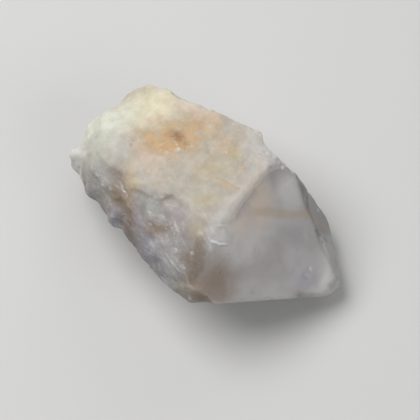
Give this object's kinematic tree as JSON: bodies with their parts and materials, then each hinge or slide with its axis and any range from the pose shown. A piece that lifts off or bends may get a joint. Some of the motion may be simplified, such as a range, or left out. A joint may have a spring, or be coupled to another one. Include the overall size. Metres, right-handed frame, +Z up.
{
  "type": "quartz crystal point",
  "caption": "Milky quartz point lying on one side face: flat side and tip faces, a pale crust along the top, a chipped tip and a broken end.",
  "frame": {"origin": "centre of the bounding box in plan, at the height of the resting face", "axes": "+X along the crystal's long axis towards its tip, +Z up from the resting face, +Y to the crusted flank"},
  "size_m": [0.0748, 0.0436, 0.0314],
  "materials": {
    "milky_quartz": "satin"
  },
  "bodies": {
    "root": {"quartz_crystal": "milky_quartz"}
  },
  "joints": []
}
